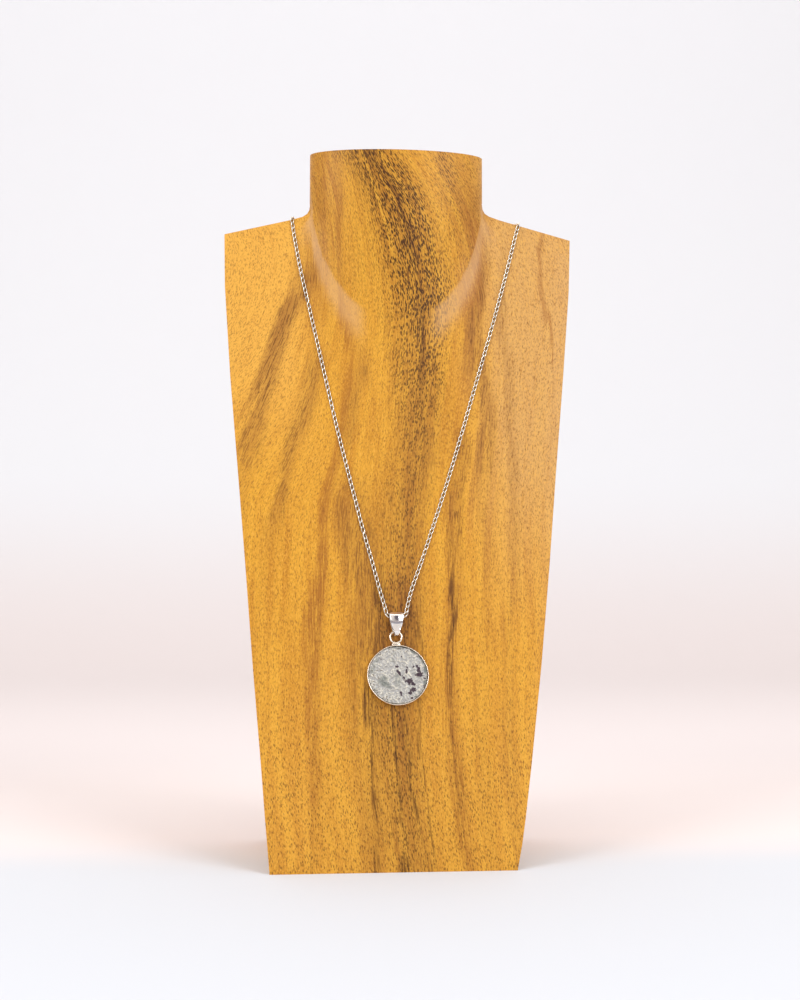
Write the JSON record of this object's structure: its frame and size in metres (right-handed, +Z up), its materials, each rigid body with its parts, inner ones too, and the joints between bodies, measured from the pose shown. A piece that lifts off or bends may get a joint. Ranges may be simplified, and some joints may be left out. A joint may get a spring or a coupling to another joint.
{
  "type": "coin pendant necklace on a wooden neck bust",
  "caption": "Worn coin in a plain silver bezel, hung by a ring and a folded bail from a fine curb chain on a leaning wooden neck bust.",
  "frame": {"origin": "on the base face, below the middle of the neck and at mid depth of the base", "axes": "+Z up, -Y out of the front, +X to the right as seen from the front"},
  "size_m": [0.154, 0.0927, 0.305],
  "materials": {
    "bust_wood": "satin lacquer",
    "silver": "polished silver",
    "coin_silver": "worn and corroded silver"
  },
  "bodies": {
    "stand": {"bust": "bust_wood", "chain": "silver", "clasp": "silver"},
    "bail": {"bail": "silver"},
    "pendant": {"setting": "silver", "coin": "coin_silver"}
  },
  "joints": [
    {"name": "bail_on_chain", "type": "hinge", "parent": "stand", "child": "bail", "pos_m": [-0.00261, -0.01956, 0.10149], "axis": [-0.9987, -0.0506, 0], "range_deg": [0, 110]},
    {"name": "ring_in_bail", "type": "hinge", "parent": "bail", "child": "pendant", "pos_m": [-0.00253, -0.02099, 0.09535], "axis": [-0.9987, -0.0506, 0], "range_deg": [0, 50]}
  ]
}
